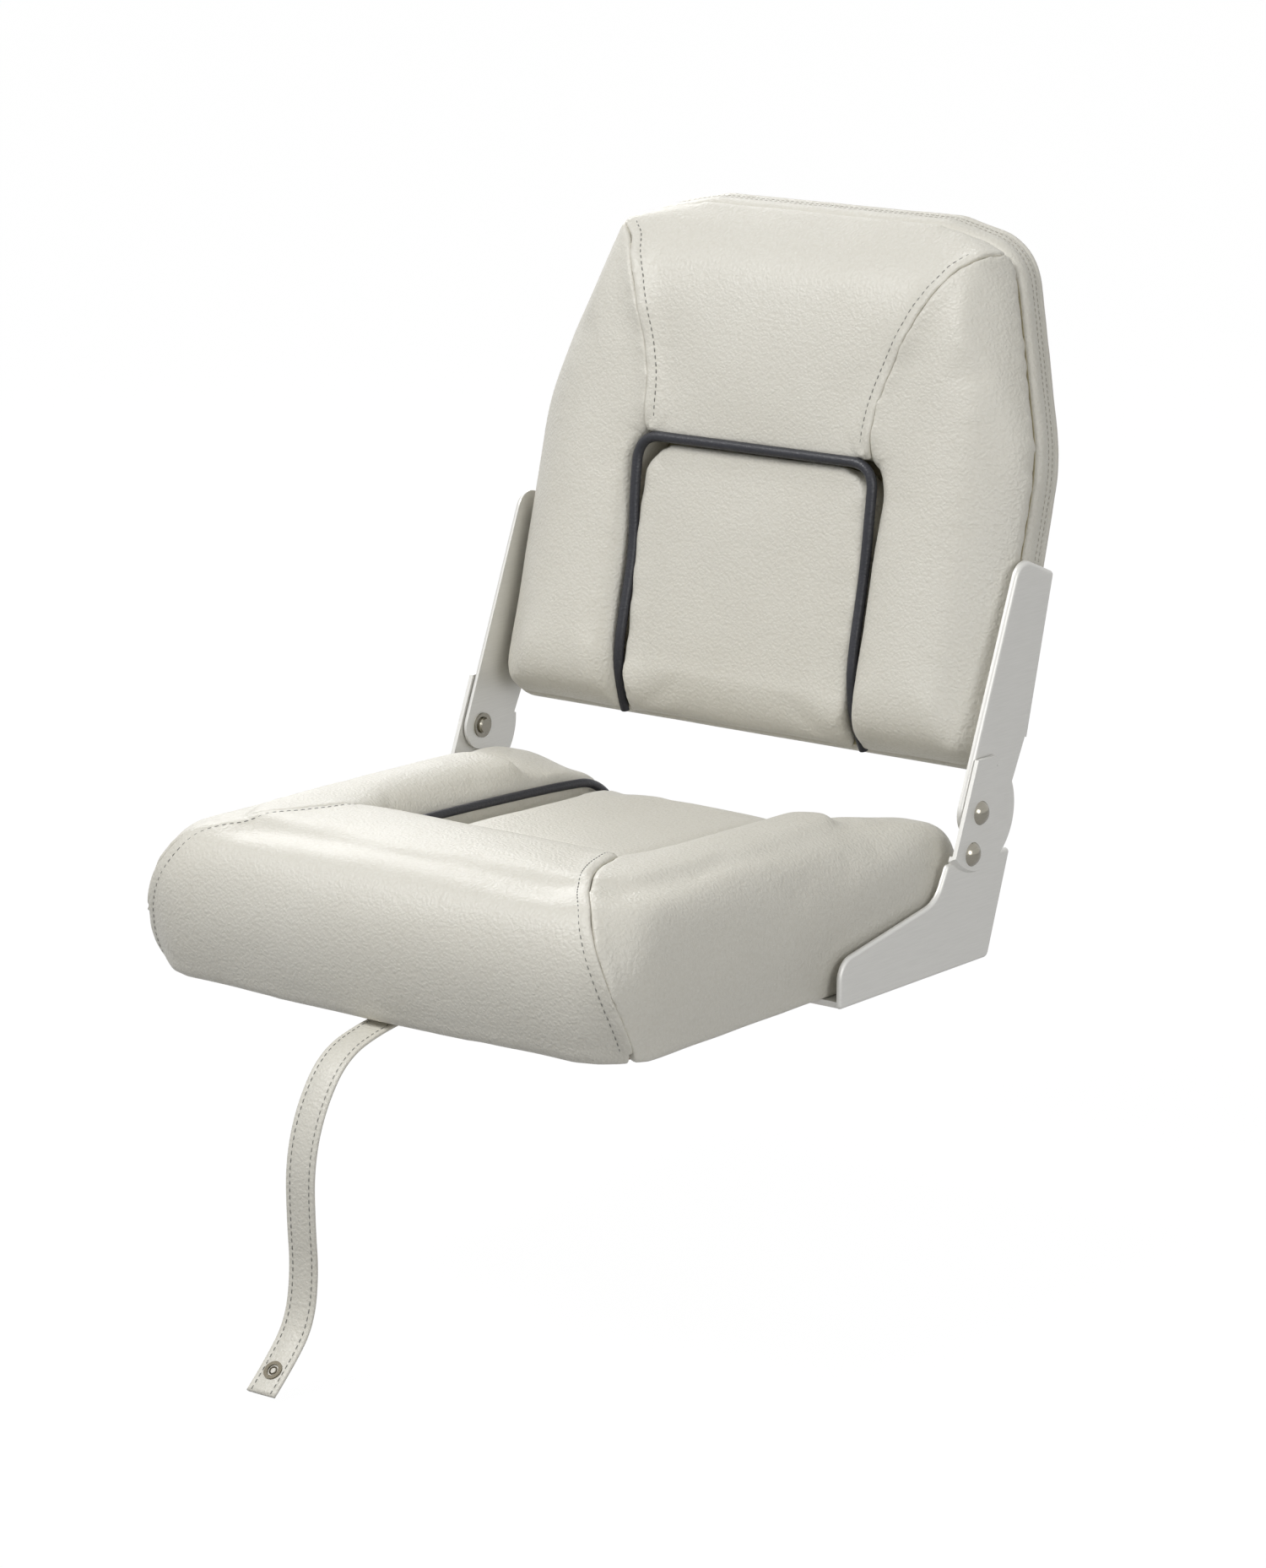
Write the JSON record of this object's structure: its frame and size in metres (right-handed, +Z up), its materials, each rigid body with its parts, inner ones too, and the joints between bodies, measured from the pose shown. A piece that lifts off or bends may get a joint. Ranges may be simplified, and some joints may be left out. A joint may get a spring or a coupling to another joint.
{
  "type": "folding boat seat",
  "caption": "Padded vinyl boat seat whose bolstered backrest folds forward on riveted plate hinges, with a snap strap that holds it shut.",
  "frame": {"origin": "centre of the square pedestal bolt pattern, on the underside of the seat board", "axes": "+X towards the right-hand hinge as the sitter's left, +Y from the seat's front edge to the backrest, +Z up"},
  "size_m": [0.4428, 0.6194, 0.688],
  "materials": {
    "ivory_vinyl": "satin",
    "navy_vinyl": "satin",
    "plywood": "matte",
    "foam": "matte",
    "hinge_aluminium": "satin",
    "rivet_steel": "polished",
    "zinc_steel": "satin",
    "nylon": "matte",
    "snap_nickel": "gloss"
  },
  "bodies": {
    "seat_base": {"seat_board": "plywood", "tee_nuts": "zinc_steel", "strap_screw": "zinc_steel", "strap_washer": "zinc_steel", "bracket_screws_left": "zinc_steel", "bracket_screws_right": "zinc_steel", "seat_front_roll": "ivory_vinyl", "seat_centre_pad": "ivory_vinyl", "seat_bolster_left": "ivory_vinyl", "seat_bolster_right": "ivory_vinyl", "strap": "ivory_vinyl", "seat_piping_left": "navy_vinyl", "seat_piping_right": "navy_vinyl", "hinge_bracket_left": "hinge_aluminium", "hinge_bracket_right": "hinge_aluminium", "pivot_rivet_left": "rivet_steel", "pivot_rivet_right": "rivet_steel", "pivot_washer_left": "rivet_steel", "pivot_washer_right": "rivet_steel", "stop_rivet_left": "rivet_steel", "stop_rivet_right": "rivet_steel", "stop_bush_left": "rivet_steel", "stop_bush_right": "rivet_steel", "slide_washer_left": "nylon", "slide_washer_right": "nylon", "snap_socket": "snap_nickel"},
    "backrest": {"back_board": "plywood", "back_rear_cover": "ivory_vinyl", "back_boxing_band": "ivory_vinyl", "back_foam": "foam", "back_centre_pad": "ivory_vinyl", "back_headrest_pad": "ivory_vinyl", "back_bolster_left": "ivory_vinyl", "back_bolster_right": "ivory_vinyl", "back_piping": "navy_vinyl", "hinge_arm_left": "hinge_aluminium", "hinge_arm_right": "hinge_aluminium", "arm_screws_left": "zinc_steel", "arm_screws_right": "zinc_steel", "snap_stud": "snap_nickel"}
  },
  "joints": [
    {"name": "back_fold", "type": "hinge", "parent": "seat_base", "child": "backrest", "pos_m": [0, 0.171, 0.098], "axis": [1, 0, 0], "range_deg": [0, 86]}
  ]
}
